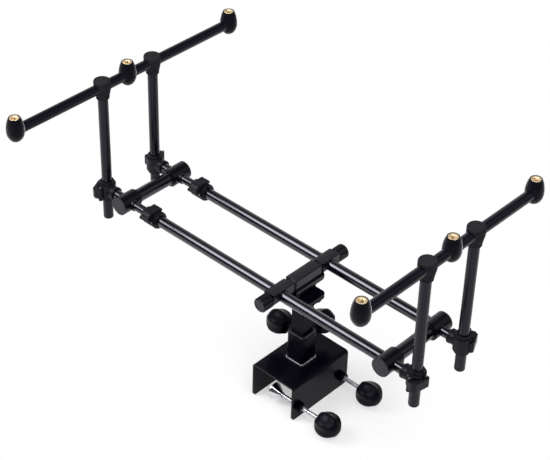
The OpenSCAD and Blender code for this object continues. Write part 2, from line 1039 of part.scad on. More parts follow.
module collar_pair() {
    difference() {
        union() {
            translate([-bar_x, -upright_offset, 0])
                collar_body();
            lock_place_a()
                lock_ring();
        }
        translate([-bar_x, -upright_offset, 0])
            collar_bores();
        lock_place_a() {
            pin_hole();
            lock_slot();
        }
    }
    difference() {
        union() {
            translate([bar_x, -upright_offset, 0])
                collar_body();
            lock_place_b()
                lock_ring();
        }
        translate([bar_x, -upright_offset, 0])
            collar_bores();
        lock_place_b() {
            pin_hole();
            lock_slot();
        }
    }
}

module collar_pins() {
    lock_place_a()
        lock_pin();
    lock_place_b()
        lock_pin();
}

module front_bosses() {
    color(plastic_black)
        at_front()
            boss_pair(bar_r, false);
}

module rear_bosses() {
    color(plastic_black)
        at_rear()
            boss_pair(tube_r, true);
}

module front_cross_tube() {
    color(bar_black)
        at_front()
            cross_tube();
}

module rear_cross_tube() {
    color(bar_black)
        at_rear()
            cross_tube();
}

module front_end_caps() {
    color(cap_grey)
        at_front()
            end_cap_pair();
}

module rear_end_caps() {
    color(cap_grey)
        at_rear()
            end_cap_pair();
}

module front_stubs() {
    color(bar_black)
        at_front()
            stub_pair();
}

module rear_stubs() {
    color(bar_black)
        at_rear()
            stub_pair();
}

module front_collars() {
    color(plastic_black)
        at_front()
            collar_pair();
}

module rear_collars() {
    color(plastic_black)
        at_rear()
            collar_pair();
}

module rear_lock_pins() {
    color(steel_grey)
        at_rear()
            collar_pins();
}

module frame_lock_pins() {
    color(steel_grey) {
        at_front()
            collar_pins();
        for (side = [-1, 1])
            lock_place_bar(side)
                lock_pin();
    }
}

module front_near_lever() {
    color(plastic_black)
        at_front()
            lock_place_a()
                flip_lever();
}

module front_far_lever() {
    color(plastic_black)
        at_front()
            lock_place_b()
                flip_lever();
}

module rear_far_lever() {
    color(plastic_black)
        at_rear()
            lock_place_a()
                flip_lever();
}

module rear_near_lever() {
    color(plastic_black)
        at_rear()
            lock_place_b()
                flip_lever();
}

// Main bars and telescope

module main_bars() {
    front = -front_reach + boss_seat;
    color(bar_black)
        both_bars()
            translate([0, front, bar_z])
                along_y()
                    tube(bar_d, bar_wall, bar_rear - front);
}

module bar_lock() {
    bar_end = bar_rear - bar_ring_y;
    difference() {
        union() {
            lock_ring();
            translate([0, 0, bar_end - bar_sleeve_front])
                cylinder(r = bar_sleeve_r, h = bar_sleeve_front);
            translate([0, 0, bar_end])
                cylinder(r = tube_sleeve_r, h = bar_sleeve_back - bar_end);
        }
        translate([0, 0, -2 * sleeve_h])
            cylinder(r = bar_r + fixed_fit, h = 2 * sleeve_h + bar_end);
        translate([0, 0, bar_end - cut])
            cylinder(r = tube_r + slide_fit, h = sleeve_h);
        translate([-slot_w / 2, -2 * ring_r, bar_end + cut])
            cube([slot_w, 2 * ring_r - tube_r + cut, sleeve_h]);
        pin_hole();
    }
}

module bar_locks() {
    color(plastic_black)
        for (side = [-1, 1])
            lock_place_bar(side)
                bar_lock();
}

module near_bar_lever() {
    color(plastic_black)
        lock_place_bar(-1)
            flip_lever();
}

module far_bar_lever() {
    color(plastic_black)
        lock_place_bar(1)
            flip_lever();
}

module inner_tubes() {
    front = bar_rear - overlap;
    color(bar_black)
        both_bars()
            translate([0, front, bar_z])
                along_y()
                    tube(tube_d, tube_wall, rear_reach - boss_seat - front);
}

module telescope_bushes() {
    front = bar_rear - overlap;
    color(plastic_black)
        both_bars()
            translate([0, front, bar_z])
                along_y()
                    difference() {
                        cylinder(r = bar_bore_r - slide_fit, h = bush_l);
                        translate([0, 0, -cut])
                            cylinder(r = tube_r + fixed_fit, h = bush_l + 2 * cut);
                    }
}

// Rests, drawn round the buzz bar axis

module upright_pair() {
    both_bars()
        translate([0, 0, -upright_l + plug_cap])
            tube(upright_d, upright_wall, upright_l - plug_cap - upright_top);
}

module foot_plug_pair() {
    both_bars()
        translate([0, 0, -upright_l])
            rotate_extrude()
                polygon(concat(
                    [[0, 0]],
                    arc(upright_r - plug_round, plug_round, plug_round, -90, 0),
                    [
                        [upright_r, plug_cap], [upright_r - upright_wall - fixed_fit, plug_cap],
                        [upright_r - upright_wall - fixed_fit, plug_cap + plug_in], [0, plug_cap + plug_in]
                    ]
                ));
}

module head_pair() {
    both_bars()
        difference() {
            rotate_extrude()
                polygon(concat(
                    [
                        [0, -head_bottom], [head_collar_r, -head_bottom],
                        [head_collar_r, -head_bottom + head_collar_l],
                        [head_r - 1, -head_waist * head_bottom], [head_r, 0]
                    ],
                    arc(head_r - head_round, head_top - head_round, head_round, 0, 90),
                    [[0, head_top]]
                ));
            translate([-head_d, 0, 0])
                along_x()
                    cylinder(r = buzz_r + fixed_fit, h = 2 * head_d);
            translate([0, 0, -head_bottom - cut])
                cylinder(r = upright_r + fixed_fit, h = head_bottom + cut - upright_top);
        }
}

module buzz_bar(span) {
    half = span / 2 + egg_r - egg_end_wall;
    translate([-half, 0, 0])
        along_x()
            tube(buzz_d, buzz_wall, 2 * half);
}

module egg() {
    difference() {
        rotate_extrude()
            polygon(egg_profile);
        translate([0, 0, insert_floor])
            cylinder(r = insert_d / 2, h = egg_top);
    }
}

module egg_set(span) {
    half = span / 2 + egg_r - egg_end_wall;
    for (place = [-1, 0, 1])
        difference() {
            translate([place * span / 2, 0, 0])
                egg();
            translate([-half, 0, 0])
                along_x()
                    cylinder(r = buzz_r + fixed_fit, h = 2 * half);
        }
}

module insert_set(span) {
    for (place = [-1, 0, 1])
        translate([place * span / 2, 0, 0])
            difference() {
                translate([0, 0, insert_floor])
                    cylinder(r = insert_d / 2, h = egg_top - insert_floor);
                translate([0, 0, egg_top - thread_l])
                    cylinder(r = thread_d / 2, h = thread_l + cut);
            }
}

// Move a rest to the front uprights
module at_front_rest() {
    translate([0, -front_reach - upright_offset, front_buzz_z])
        children();
}

// Move a rest to the rear uprights
module at_rear_rest() {
    translate([0, rear_reach + upright_offset, rear_buzz_z])
        children();
}

module front_uprights() {
    color(tube_black)
        at_front_rest()
            upright_pair();
}

module front_foot_plugs() {
    color(plastic_black)
        at_front_rest()
            foot_plug_pair();
}

module front_heads() {
    color(soft_black)
        at_front_rest()
            head_pair();
}

module front_buzz_bar() {
    color(tube_black)
        at_front_rest()
            buzz_bar(front_span);
}

module front_eggs() {
    color(soft_black)
        at_front_rest()
            egg_set(front_span);
}

module front_inserts() {
    color(brass_gold)
        at_front_rest()
            insert_set(front_span);
}

module rear_uprights() {
    color(tube_black)
        at_rear_rest()
            upright_pair();
}

module rear_foot_plugs() {
    color(plastic_black)
        at_rear_rest()
            foot_plug_pair();
}

module rear_heads() {
    color(soft_black)
        at_rear_rest()
            head_pair();
}

module rear_buzz_bar() {
    color(tube_black)
        at_rear_rest()
            buzz_bar(rear_span);
}

module rear_eggs() {
    color(soft_black)
        at_rear_rest()
            egg_set(rear_span);
}

module rear_inserts() {
    color(brass_gold)
        at_rear_rest()
            insert_set(rear_span);
}

clamp_bracket();
post();
mast_guide();
weld_nuts();
near_clamp_foot();
far_clamp_foot();
near_clamp_screw();
far_clamp_screw();
near_clamp_knob();
far_clamp_knob();
rear_lock_screw();
rear_lock_knob();
side_lock_screw();
side_lock_knob();
mast();
saddle();
head_bolts();
clamp_bolts();
clamp_beam();
bar_clamps();
near_end_stud();
near_end_grip();
far_end_stud();
far_end_grip();
main_bars();
front_cross_tube();
front_bosses();
front_end_caps();
front_stubs();
front_collars();
bar_locks();
frame_lock_pins();
near_bar_lever();
far_bar_lever();
front_near_lever();
front_far_lever();
rear_near_lever();
rear_far_lever();
inner_tubes();
telescope_bushes();
rear_cross_tube();
rear_bosses();
rear_end_caps();
rear_stubs();
rear_collars();
rear_lock_pins();
front_uprights();
front_foot_plugs();
front_heads();
front_buzz_bar();
front_eggs();
front_inserts();
rear_uprights();
rear_foot_plugs();
rear_heads();
rear_buzz_bar();
rear_eggs();
rear_inserts();
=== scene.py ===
import json
import math

import bmesh
import bpy
from bpy.props import FloatProperty, FloatVectorProperty, IntProperty, PointerProperty
from mathutils import Matrix, Vector


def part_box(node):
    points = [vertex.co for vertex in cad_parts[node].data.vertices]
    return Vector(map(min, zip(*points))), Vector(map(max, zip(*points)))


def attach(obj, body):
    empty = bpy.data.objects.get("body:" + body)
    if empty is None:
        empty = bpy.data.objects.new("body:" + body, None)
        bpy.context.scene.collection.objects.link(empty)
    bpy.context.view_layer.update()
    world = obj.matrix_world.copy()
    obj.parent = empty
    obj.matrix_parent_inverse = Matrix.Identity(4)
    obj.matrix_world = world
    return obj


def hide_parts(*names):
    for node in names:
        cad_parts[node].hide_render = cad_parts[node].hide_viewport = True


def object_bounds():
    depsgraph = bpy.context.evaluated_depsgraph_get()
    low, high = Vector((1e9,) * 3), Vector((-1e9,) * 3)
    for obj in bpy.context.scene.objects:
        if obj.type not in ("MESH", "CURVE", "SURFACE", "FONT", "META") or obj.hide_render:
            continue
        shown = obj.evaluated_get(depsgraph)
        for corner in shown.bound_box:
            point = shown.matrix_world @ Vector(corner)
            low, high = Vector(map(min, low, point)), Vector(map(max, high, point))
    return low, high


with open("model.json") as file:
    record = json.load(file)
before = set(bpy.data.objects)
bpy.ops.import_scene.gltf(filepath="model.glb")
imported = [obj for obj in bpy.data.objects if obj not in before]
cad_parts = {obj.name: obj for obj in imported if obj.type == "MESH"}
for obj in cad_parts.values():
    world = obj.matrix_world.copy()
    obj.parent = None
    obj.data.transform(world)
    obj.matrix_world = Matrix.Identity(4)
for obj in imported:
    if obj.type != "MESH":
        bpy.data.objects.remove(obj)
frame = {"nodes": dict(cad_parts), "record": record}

bl_info = {
    "name": "Rod pod",
    "version": (1, 0, 0),
    "blender": (4, 5, 0),
    "location": "3D View > Sidebar > Rod pod",
    "description": "Gives the rod pod its rounded edges, threads, ribs, weld and finishes",
    "category": "Object",
}

MM = 0.001
CAD_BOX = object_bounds()
BODIES = frame["record"]["behaviour"]["bodies"]
NODE_BODY = {node: body for body, nodes in BODIES.items() for node in nodes}

# Materials by the name of their finish, filled by the finishes operator
FINISHES = {}


# Node helpers

# Middle range of a noise, which is stretched to the ends of a value
NOISE_CORE = (0.3, 0.7)


def add_node(tree, kind, inputs=None, **settings):
    """New node in a tree; each input takes a value or another node's output."""
    made = tree.nodes.new(kind)
    for name, value in settings.items():
        setattr(made, name, value)
    for name, value in (inputs or {}).items():
        if isinstance(value, bpy.types.NodeSocket):
            tree.links.new(value, made.inputs[name])
        else:
            made.inputs[name].default_value = value
    return made


def remap(tree, value, source, target, interpolation="LINEAR"):
    """Carry a value over from one range to another and hold it at the ends."""
    ends = {
        "Value": value, "From Min": source[0], "From Max": source[1],
        "To Min": target[0], "To Max": target[1],
    }
    return add_node(tree, "ShaderNodeMapRange", ends, interpolation_type=interpolation).outputs["Result"]


def combine(tree, operation, first, second):
    """Result of a math operation on two values."""
    return add_node(tree, "ShaderNodeMath", {0: first, 1: second}, operation=operation).outputs["Value"]


def nearness(tree, ray, direction):
    """Dot product of a ray and a direction, near 1 where they agree."""
    product = add_node(tree, "ShaderNodeVectorMath", {0: ray, 1: direction}, operation="DOT_PRODUCT")
    return product.outputs["Value"]


def new_finish(name):
    """New material with its tree, its shader and its object coordinates."""
    material = bpy.data.materials.new(name)
    material.use_nodes = True
    tree = material.node_tree
    coords = add_node(tree, "ShaderNodeTexCoord").outputs["Object"]
    return material, tree, tree.nodes["Principled BSDF"], coords


def noise(tree, coords, scale, detail=2.0):
    """Even noise from 0 to 1 with grains of 1 / scale metres."""
    grain = add_node(tree, "ShaderNodeTexNoise", {"Vector": coords, "Scale": scale, "Detail": detail})
    return grain.outputs["Fac"]


def mottle(tree, value, base, share):
    """Colour that drifts a share darker and lighter with a noise."""
    ramp = add_node(tree, "ShaderNodeValToRGB", {"Fac": value})
    for element, place, factor in zip(ramp.color_ramp.elements, NOISE_CORE, (1 - share, 1 + share)):
        element.position = place
        element.color = [channel * factor for channel in base[:3]] + [1.0]
    return ramp.outputs["Color"]


def relief(tree, shader, height, depth):
    """Fine relief of a surface, with its depth in metres."""
    bump = add_node(tree, "ShaderNodeBump", {"Height": height, "Strength": 1.0, "Distance": depth})
    tree.links.new(bump.outputs["Normal"], shader.inputs["Normal"])


def grained(name, base, drift, drift_scale, rough, rough_scale, grain_scale, grain_depth):
    """Finish whose colour, gloss and fine relief all vary over the surface."""
    material, tree, shader, coords = new_finish(name)
    colours = mottle(tree, noise(tree, coords, drift_scale), base, drift)
    tree.links.new(colours, shader.inputs["Base Color"])
    gloss = remap(tree, noise(tree, coords, rough_scale, detail=4.0), NOISE_CORE, rough)
    tree.links.new(gloss, shader.inputs["Roughness"])
    relief(tree, shader, noise(tree, coords, grain_scale, detail=3.0), grain_depth)
    return material, shader


# Finishes

VIOLET_CAST = (0.86, 0.83, 1.0, 1.0)


def black_finish(name, base, gloss, sockets=None, **grain):
    """Black finish with a slight violet cast in its reflections, and what else its shader needs."""
    material, shader = grained(name, base, **grain)
    values = {"Specular IOR Level": gloss, "Specular Tint": VIOLET_CAST, **(sockets or {})}
    for socket, value in values.items():
        shader.inputs[socket].default_value = value
    return material


def plate_enamel(base):
    """Glossy black enamel with a faint orange peel."""
    return black_finish(
        "Black enamel", base, gloss=0.13, drift=0.15, drift_scale=40.0, rough=(0.17, 0.25),
        rough_scale=200.0, grain_scale=500.0, grain_depth=0.01 * MM)


def column_enamel(base):
    """The same enamel, flatter on the column."""
    return black_finish(
        "Column enamel", base, gloss=0.05, drift=0.15, drift_scale=40.0, rough=(0.17, 0.25),
        rough_scale=200.0, grain_scale=500.0, grain_depth=0.01 * MM)


def weld_enamel(base):
    """The same enamel, pulled thin and shiny over the weld."""
    return black_finish(
        "Enamelled weld", base, gloss=1.0, drift=0.15, drift_scale=40.0, rough=(0.16, 0.24),
        rough_scale=300.0, grain_scale=900.0, grain_depth=0.02 * MM,
        sockets={"Coat Weight": 1.0, "Coat IOR": 1.9, "Coat Roughness": 0.14})


def gloss_bar(base):
    """Gloss black bar with a faint drawing texture."""
    return black_finish(
        "Gloss black bar", base, gloss=0.5, drift=0.1, drift_scale=30.0, rough=(0.13, 0.17),
        rough_scale=60.0, grain_scale=1500.0, grain_depth=0.001 * MM,
        sockets={"Coat Weight": 0.35, "Coat Roughness": 0.1})


def satin_tube(base):
    """Satin black tube of the uprights and buzz bars."""
    return black_finish(
        "Satin black tube", base, gloss=0.28, drift=0.12, drift_scale=30.0, rough=(0.2, 0.26),
        rough_scale=80.0, grain_scale=1800.0, grain_depth=0.002 * MM)


def moulded_plastic(base):
    """Satin moulded plastic with a spark eroded grain."""
    return black_finish(
        "Moulded plastic", base, gloss=0.12, drift=0.14, drift_scale=60.0, rough=(0.26, 0.36),
        rough_scale=300.0, grain_scale=1600.0, grain_depth=0.02 * MM)


def boss_plastic_and_joint_shade(base):
    """Polished moulded plastic of the bosses, and painted shade on the joints of the bar clamp."""
    return black_finish(
        "Boss plastic and painted joint shade", base, gloss=0.3, drift=0.12, drift_scale=50.0, rough=(0.2, 0.28),
        rough_scale=300.0, grain_scale=1200.0, grain_depth=0.01 * MM)


def clamp_plastic(base):
    """Shiny moulded plastic of the bar clamp, its knobs and the guide."""
    return black_finish(
        "Clamp plastic", base, gloss=0.32, drift=0.12, drift_scale=50.0, rough=(0.11, 0.16),
        rough_scale=300.0, grain_scale=1200.0, grain_depth=0.002 * MM)


def knob_plastic(base):
    """Matte moulded plastic of the ball knobs."""
    return black_finish(
        "Knob plastic", base, gloss=0.1, drift=0.12, drift_scale=50.0, rough=(0.34, 0.42),
        rough_scale=300.0, grain_scale=1400.0, grain_depth=0.03 * MM,
        sockets={"Sheen Weight": 0.08, "Sheen Roughness": 0.3})


def soft_cover(base):
    """Soft matte rubber of the eggs."""
    return black_finish(
        "Soft cover", base, gloss=0.06, drift=0.16, drift_scale=70.0, rough=(0.54, 0.66),
        rough_scale=500.0, grain_scale=2200.0, grain_depth=0.04 * MM,
        sockets={"Sheen Weight": 1.0, "Sheen Roughness": 0.32})


def head_plastic(base):
    """Firm matte plastic of the T-heads."""
    return black_finish(
        "Head plastic", base, gloss=0.02, drift=0.12, drift_scale=60.0, rough=(0.5, 0.6),
        rough_scale=400.0, grain_scale=1800.0, grain_depth=0.03 * MM)


def cap_plastic(base):
    """Flat dark grey plastic of the end discs."""
    return black_finish(
        "Cap plastic", base, gloss=0.3, drift=0.1, drift_scale=60.0, rough=(0.5, 0.62),
        rough_scale=400.0, grain_scale=1800.0, grain_depth=0.04 * MM)


def metal(name, base, drift, rough, grain_depth):
    """Bare or plated metal with a faint grain."""
    material, shader = grained(
        name, base, drift=drift, drift_scale=100.0, rough=rough, rough_scale=400.0, grain_scale=2200.0,
        grain_depth=grain_depth)
    shader.inputs["Metallic"].default_value = 1.0
    return material


def bright_chrome(base):
    """Polished plating of the pressure feet."""
    return metal("Bright chrome", base, drift=0.04, rough=(0.08, 0.16), grain_depth=0.003 * MM)


def plated_rod(base):
    """Duller plating of the plank screws."""
    return metal("Plated rod", base, drift=0.04, rough=(0.24, 0.34), grain_depth=0.003 * MM)


def zinc_steel(base):
    """Zinc plated steel of the clamp bolts, studs and pins."""
    return metal("Zinc steel", base, drift=0.12, rough=(0.3, 0.45), grain_depth=0.01 * MM)


def black_steel(base):
    """Blackened steel of the column screws."""
    return metal("Black steel", base, drift=0.15, rough=(0.3, 0.45), grain_depth=0.01 * MM)


def turned_brass(base):
    """Turned brass of the inserts."""
    return metal("Turned brass", base, drift=0.08, rough=(0.4, 0.5), grain_depth=0.006 * MM)


# Mesh helpers

# Points of a new mesh closer than this are one
SAME_POINT = 1e-7
# Points of a CAD mesh closer than this are one
CAD_SEAM = 2e-6
FLAT_ANGLE = math.radians(0.4)
SHARP_ANGLE = math.radians(30)
SHARP_TURNED_ANGLE = math.radians(38)


def node_box(node):
    """Lowest corner, highest corner and middle of a node."""
    low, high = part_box(node)
    return low, high, (low + high) / 2


def node_base(node, axis):
    """Size of a node, the number of the main axis and the middle of the end that the axis starts from."""
    low, high, middle = node_box(node)
    along = max(range(3), key=lambda i: abs(axis[i]))
    base = middle.copy()
    base[along] = (low if axis[along] > 0 else high)[along]
    return high - low, along, base


def turn_to(axis, place):
    """Matrix that turns Z to an axis and moves the origin to a place."""
    return Matrix.Translation(place) @ Vector(axis).to_track_quat("Z", "Y").to_matrix().to_4x4()


def lathe(work, profile, matrix, sides):
    """Turn an open profile of (radius, height) points that starts and ends on the axis."""
    rings = []
    for radius, height in profile:
        if radius < SAME_POINT:
            rings.append([work.verts.new(matrix @ Vector((0, 0, height)))])
            continue
        angles = [2 * math.pi * i / sides for i in range(sides)]
        points = [Vector((radius * math.cos(a), radius * math.sin(a), height)) for a in angles]
        rings.append([work.verts.new(matrix @ p) for p in points])
    for lower, upper in zip(rings, rings[1:]):
        for i in range(sides):
            j = (i + 1) % sides
            low_edge = [lower[i % len(lower)], lower[j % len(lower)]]
            high_edge = [upper[j % len(upper)], upper[i % len(upper)]]
            corners = list(dict.fromkeys(low_edge + high_edge))
            if len(corners) > 2:
                work.faces.new(corners)


def arc(centre, radius, start, end, steps=6):
    """Points of an arc in a profile, with its angles in degrees."""
    angles = [math.radians(start + (end - start) * i / steps) for i in range(steps + 1)]
    return [(centre[0] + radius * math.cos(a), centre[1] + radius * math.sin(a)) for a in angles]


def mesh_from(work, name):
    """Plain mesh of a bmesh, facing outwards and smooth up to sharp edges."""
    bmesh.ops.remove_doubles(work, verts=work.verts, dist=SAME_POINT)
    bmesh.ops.recalc_face_normals(work, faces=work.faces)
    mesh = bpy.data.meshes.new(name)
    work.to_mesh(mesh)
    work.free()
    mesh.shade_smooth()
    mesh.set_sharp_from_angle(angle=SHARP_TURNED_ANGLE)
    return mesh


def new_object(name, mesh):
    """Object at the origin that holds a mesh."""
    made = bpy.data.objects.new(name, mesh)
    bpy.context.scene.collection.objects.link(made)
    return made


def settle(piece, finish, *nodes):
    """Give a piece its finish, its body and the nodes that it stands for."""
    piece.data.materials.clear()
    piece.data.materials.append(FINISHES[finish])
    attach(piece, NODE_BODY[nodes[0]])
    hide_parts(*nodes)


def apply_modifiers(piece):
    """Turn a piece with its modifiers into a plain mesh."""
    shown = piece.evaluated_get(bpy.context.evaluated_depsgraph_get())
    mesh = bpy.data.meshes.new_from_object(shown)
    piece.modifiers.clear()
    piece.data = mesh


def merged_copy(node, name):
    """Copy of a node with its triangles merged."""
    work = bmesh.new()
    work.from_mesh(frame["nodes"][node].data)
    bmesh.ops.remove_doubles(work, verts=work.verts, dist=CAD_SEAM)
    bmesh.ops.dissolve_limit(work, angle_limit=FLAT_ANGLE, verts=work.verts, edges=work.edges)
    mesh = bpy.data.meshes.new(name)
    work.to_mesh(mesh)
    work.free()
    if "custom_normal" in mesh.attributes:
        mesh.attributes.remove(mesh.attributes["custom_normal"])
    mesh.shade_smooth()
    mesh.set_sharp_from_angle(angle=SHARP_ANGLE)
    return new_object(name, mesh)


def rounded_copy(node, finish, width, segments=2):
    """Copy of a node with its edges rounded."""
    piece = merged_copy(node, node + "_rounded")
    bevel = piece.modifiers.new("Rounded edges", "BEVEL")
    bevel.width = width
    bevel.segments = segments
    bevel.limit_method = "ANGLE"
    bevel.angle_limit = SHARP_ANGLE
    bevel.harden_normals = True
    apply_modifiers(piece)
    settle(piece, finish, node)
    return piece


def moulded_copy(node, finish, grain, rounds):
    """Copy of a node with all its edges softened, as in a moulding."""
    piece = merged_copy(node, node + "_moulded")
    remesh = piece.modifiers.new("Even mesh", "REMESH")
    remesh.mode = "VOXEL"
    remesh.voxel_size = grain
    remesh.use_smooth_shade = True
    soften = piece.modifiers.new("Soft edges", "SMOOTH")
    soften.factor = 0.5
    soften.iterations = rounds
    apply_modifiers(piece)
    settle(piece, finish, node)


def paint_joint_shade(piece, planes, reach, finish):
    """Second, darker finish as painted shade for the faces of a piece that lie close to a joint across X."""
    piece.data.materials.append(FINISHES[finish])
    for face in piece.data.polygons:
        if any(abs(face.center.x - plane) < reach for plane in planes):
            face.material_index = 1


def coat_node(node, finish):
    """Keep a node's own shape and give it a finish."""
    for place in frame["nodes"][node].material_slots:
        place.material = FINISHES[finish]


# Node trees

NUMBER = "NodeSocketFloat"
COUNT = "NodeSocketInt"


def new_tree(name, sockets):
    """Geometry node tree with a body, named inputs and a finish."""
    tree = bpy.data.node_groups.new(name, "GeometryNodeTree")
    tree.interface.new_socket("Body", in_out="INPUT", socket_type="NodeSocketGeometry")
    for label, kind in sockets:
        tree.interface.new_socket(label, in_out="INPUT", socket_type=kind)
    tree.interface.new_socket("Finish", in_out="INPUT", socket_type="NodeSocketMaterial")
    tree.interface.new_socket("Geometry", in_out="OUTPUT", socket_type="NodeSocketGeometry")
    return tree, add_node(tree, "NodeGroupInput").outputs


def end_tree(tree, given, parts):
    """Join the parts of a tree, make them real and give them their finish."""
    joined = add_node(tree, "GeometryNodeJoinGeometry")
    for part in parts:
        tree.links.new(part, joined.inputs["Geometry"])
    real = add_node(tree, "GeometryNodeRealizeInstances", {"Geometry": joined.outputs["Geometry"]})
    coated = add_node(tree, "GeometryNodeSetMaterial", {
        "Geometry": real.outputs["Geometry"], "Material": given["Finish"],
    })
    add_node(tree, "NodeGroupOutput", {"Geometry": coated.outputs["Geometry"]})
    return tree


def lifted(tree, geometry, height):
    """Geometry moved up along Z."""
    place = add_node(tree, "ShaderNodeCombineXYZ", {"Z": height})
    moved = add_node(tree, "GeometryNodeTransform", {
        "Geometry": geometry, "Translation": place.outputs["Vector"],
    })
    return moved.outputs["Geometry"]


def thread_tree():
    """Round-crested thread wound on a body along Z."""
    tree, given = new_tree("Screw thread", [
        ("Radius", NUMBER), ("Crest", NUMBER), ("Turns", NUMBER), ("Length", NUMBER), ("Start", NUMBER),
        ("Steps", COUNT),
    ])
    path = add_node(tree, "GeometryNodeCurveSpiral", {
        "Resolution": given["Steps"], "Rotations": given["Turns"], "Start Radius": given["Radius"],
        "End Radius": given["Radius"], "Height": given["Length"],
    })
    crest = add_node(tree, "GeometryNodeCurvePrimitiveCircle", {"Resolution": 6, "Radius": given["Crest"]})
    wound = add_node(tree, "GeometryNodeCurveToMesh", {
        "Curve": path.outputs["Curve"], "Profile Curve": crest.outputs["Curve"], "Fill Caps": True,
    })
    thread = lifted(tree, wound.outputs["Mesh"], given["Start"])
    smooth = add_node(tree, "GeometryNodeSetShadeSmooth", {"Geometry": thread})
    return end_tree(tree, given, [given["Body"], smooth.outputs["Geometry"]])


def rib_tree():
    """Ring of round ribs along Z on a grip."""
    tree, given = new_tree("Grip ribs", [
        ("Count", COUNT), ("Ring radius", NUMBER), ("Rib radius", NUMBER), ("Length", NUMBER),
        ("Middle", NUMBER),
    ])
    ring = add_node(tree, "GeometryNodeCurvePrimitiveCircle", {
        "Resolution": given["Count"], "Radius": given["Ring radius"],
    })
    rib = add_node(tree, "GeometryNodeMeshCylinder", {
        "Vertices": 14, "Radius": given["Rib radius"], "Depth": given["Length"],
    })
    ribs = add_node(tree, "GeometryNodeInstanceOnPoints", {
        "Points": ring.outputs["Curve"], "Instance": rib.outputs["Mesh"],
    })
    return end_tree(tree, given, [given["Body"], lifted(tree, ribs.outputs["Instances"], given["Middle"])])


def weld_tree():
    """Overlapping ripples of a weld round a square foot."""
    tree, given = new_tree("Weld ripples", [
        ("Side", NUMBER), ("Corner", NUMBER), ("Step", NUMBER), ("Ripple", NUMBER), ("Height", NUMBER),
    ])
    square = add_node(tree, "GeometryNodeCurvePrimitiveQuadrilateral", {
        "Width": given["Side"], "Height": given["Side"],
    })
    path = add_node(tree, "GeometryNodeFilletCurve", {
        "Curve": square.outputs["Curve"], "Radius": given["Corner"], "Count": 8,
    }, mode="POLY")
    points = add_node(tree, "GeometryNodeCurveToPoints", {
        "Curve": path.outputs["Curve"], "Length": given["Step"],
    }, mode="LENGTH")
    ripple = add_node(tree, "GeometryNodeMeshUVSphere", {
        "Segments": 16, "Rings": 10, "Radius": given["Ripple"],
    })
    smooth = add_node(tree, "GeometryNodeSetShadeSmooth", {"Geometry": ripple.outputs["Mesh"]})
    ripples = add_node(tree, "GeometryNodeInstanceOnPoints", {
        "Points": points.outputs["Points"], "Instance": smooth.outputs["Geometry"],
        "Rotation": points.outputs["Rotation"], "Scale": (1.0, 1.0, 0.7),
    })
    return end_tree(tree, given, [given["Body"], lifted(tree, ripples.outputs["Instances"], given["Height"])])


def grow(piece, tree, values, matrix):
    """Run a node tree on a piece drawn along Z, then put the result in its place."""
    growth = piece.modifiers.new(tree.name, "NODES")
    growth.node_group = tree
    for item in tree.interface.items_tree:
        if item.in_out == "INPUT" and item.name in values:
            growth[item.identifier] = values[item.name]
    apply_modifiers(piece)
    piece.data.transform(matrix)


# Sizes and colours

def length(label, text, value):
    """Length property in metres."""
    return FloatProperty(name=label, description=text, default=value, min=0.0, unit="LENGTH", precision=5)


def colour(label, text, value):
    """Colour property of a finish."""
    return FloatVectorProperty(
        name=label, description=text, default=value, subtype="COLOR", size=3, min=0.0, max=1.0)


def power(label, text, value):
    """Power property of a lamp."""
    return FloatProperty(name=label, description=text, default=value, min=0.0, unit="POWER")


def angle(label, text, degrees):
    """Angle property, given in degrees."""
    return FloatProperty(name=label, description=text, default=math.radians(degrees), subtype="ANGLE")


class PodFinishes(bpy.types.PropertyGroup):
    """Colours of the rod pod's finishes."""

    coat: colour("Enamel", "Colour of the bracket, post, mast and saddle", (0.0018, 0.0016, 0.0046))
    bar_black: colour("Gloss bars", "Colour of the main bars and cross tubes", (0.0015, 0.0014, 0.0042))
    tube_black: colour("Satin tubes", "Colour of the uprights and buzz bars", (0.0028, 0.0024, 0.0062))
    plastic: colour("Plastic", "Colour of the collars, locks, levers and plugs", (0.0108, 0.0102, 0.0136))
    clamp: colour("Bar clamp", "Colour of the bar clamp, its knobs and the guide", (0.004, 0.0038, 0.0062))
    # On the bar clamp joints this colour is painted shade
    boss_plastic_and_joint_shade: colour("Boss plastic and painted joint shade", "Colour of the bosses and clamp joints", (0.0024, 0.0022, 0.0042))
    knob: colour("Knobs", "Colour of the ball knobs", (0.0026, 0.0024, 0.0052))
    soft: colour("Soft covers", "Colour of the eggs", (0.0028, 0.0025, 0.006))
    head: colour("Heads", "Colour of the T-heads", (0.0205, 0.0198, 0.0238))
    cap: colour("Caps", "Colour of the end discs", (0.026, 0.026, 0.03))
    chrome: colour("Chrome", "Colour of the plank screws and feet", (0.64, 0.65, 0.68))
    steel: colour("Steel", "Colour of the clamp bolts, studs and pins", (0.45, 0.45, 0.46))
    black_steel: colour("Black steel", "Colour of the column screws", (0.03, 0.03, 0.035))
    brass: colour("Brass", "Colour of the threaded inserts", (0.96, 0.75, 0.47))


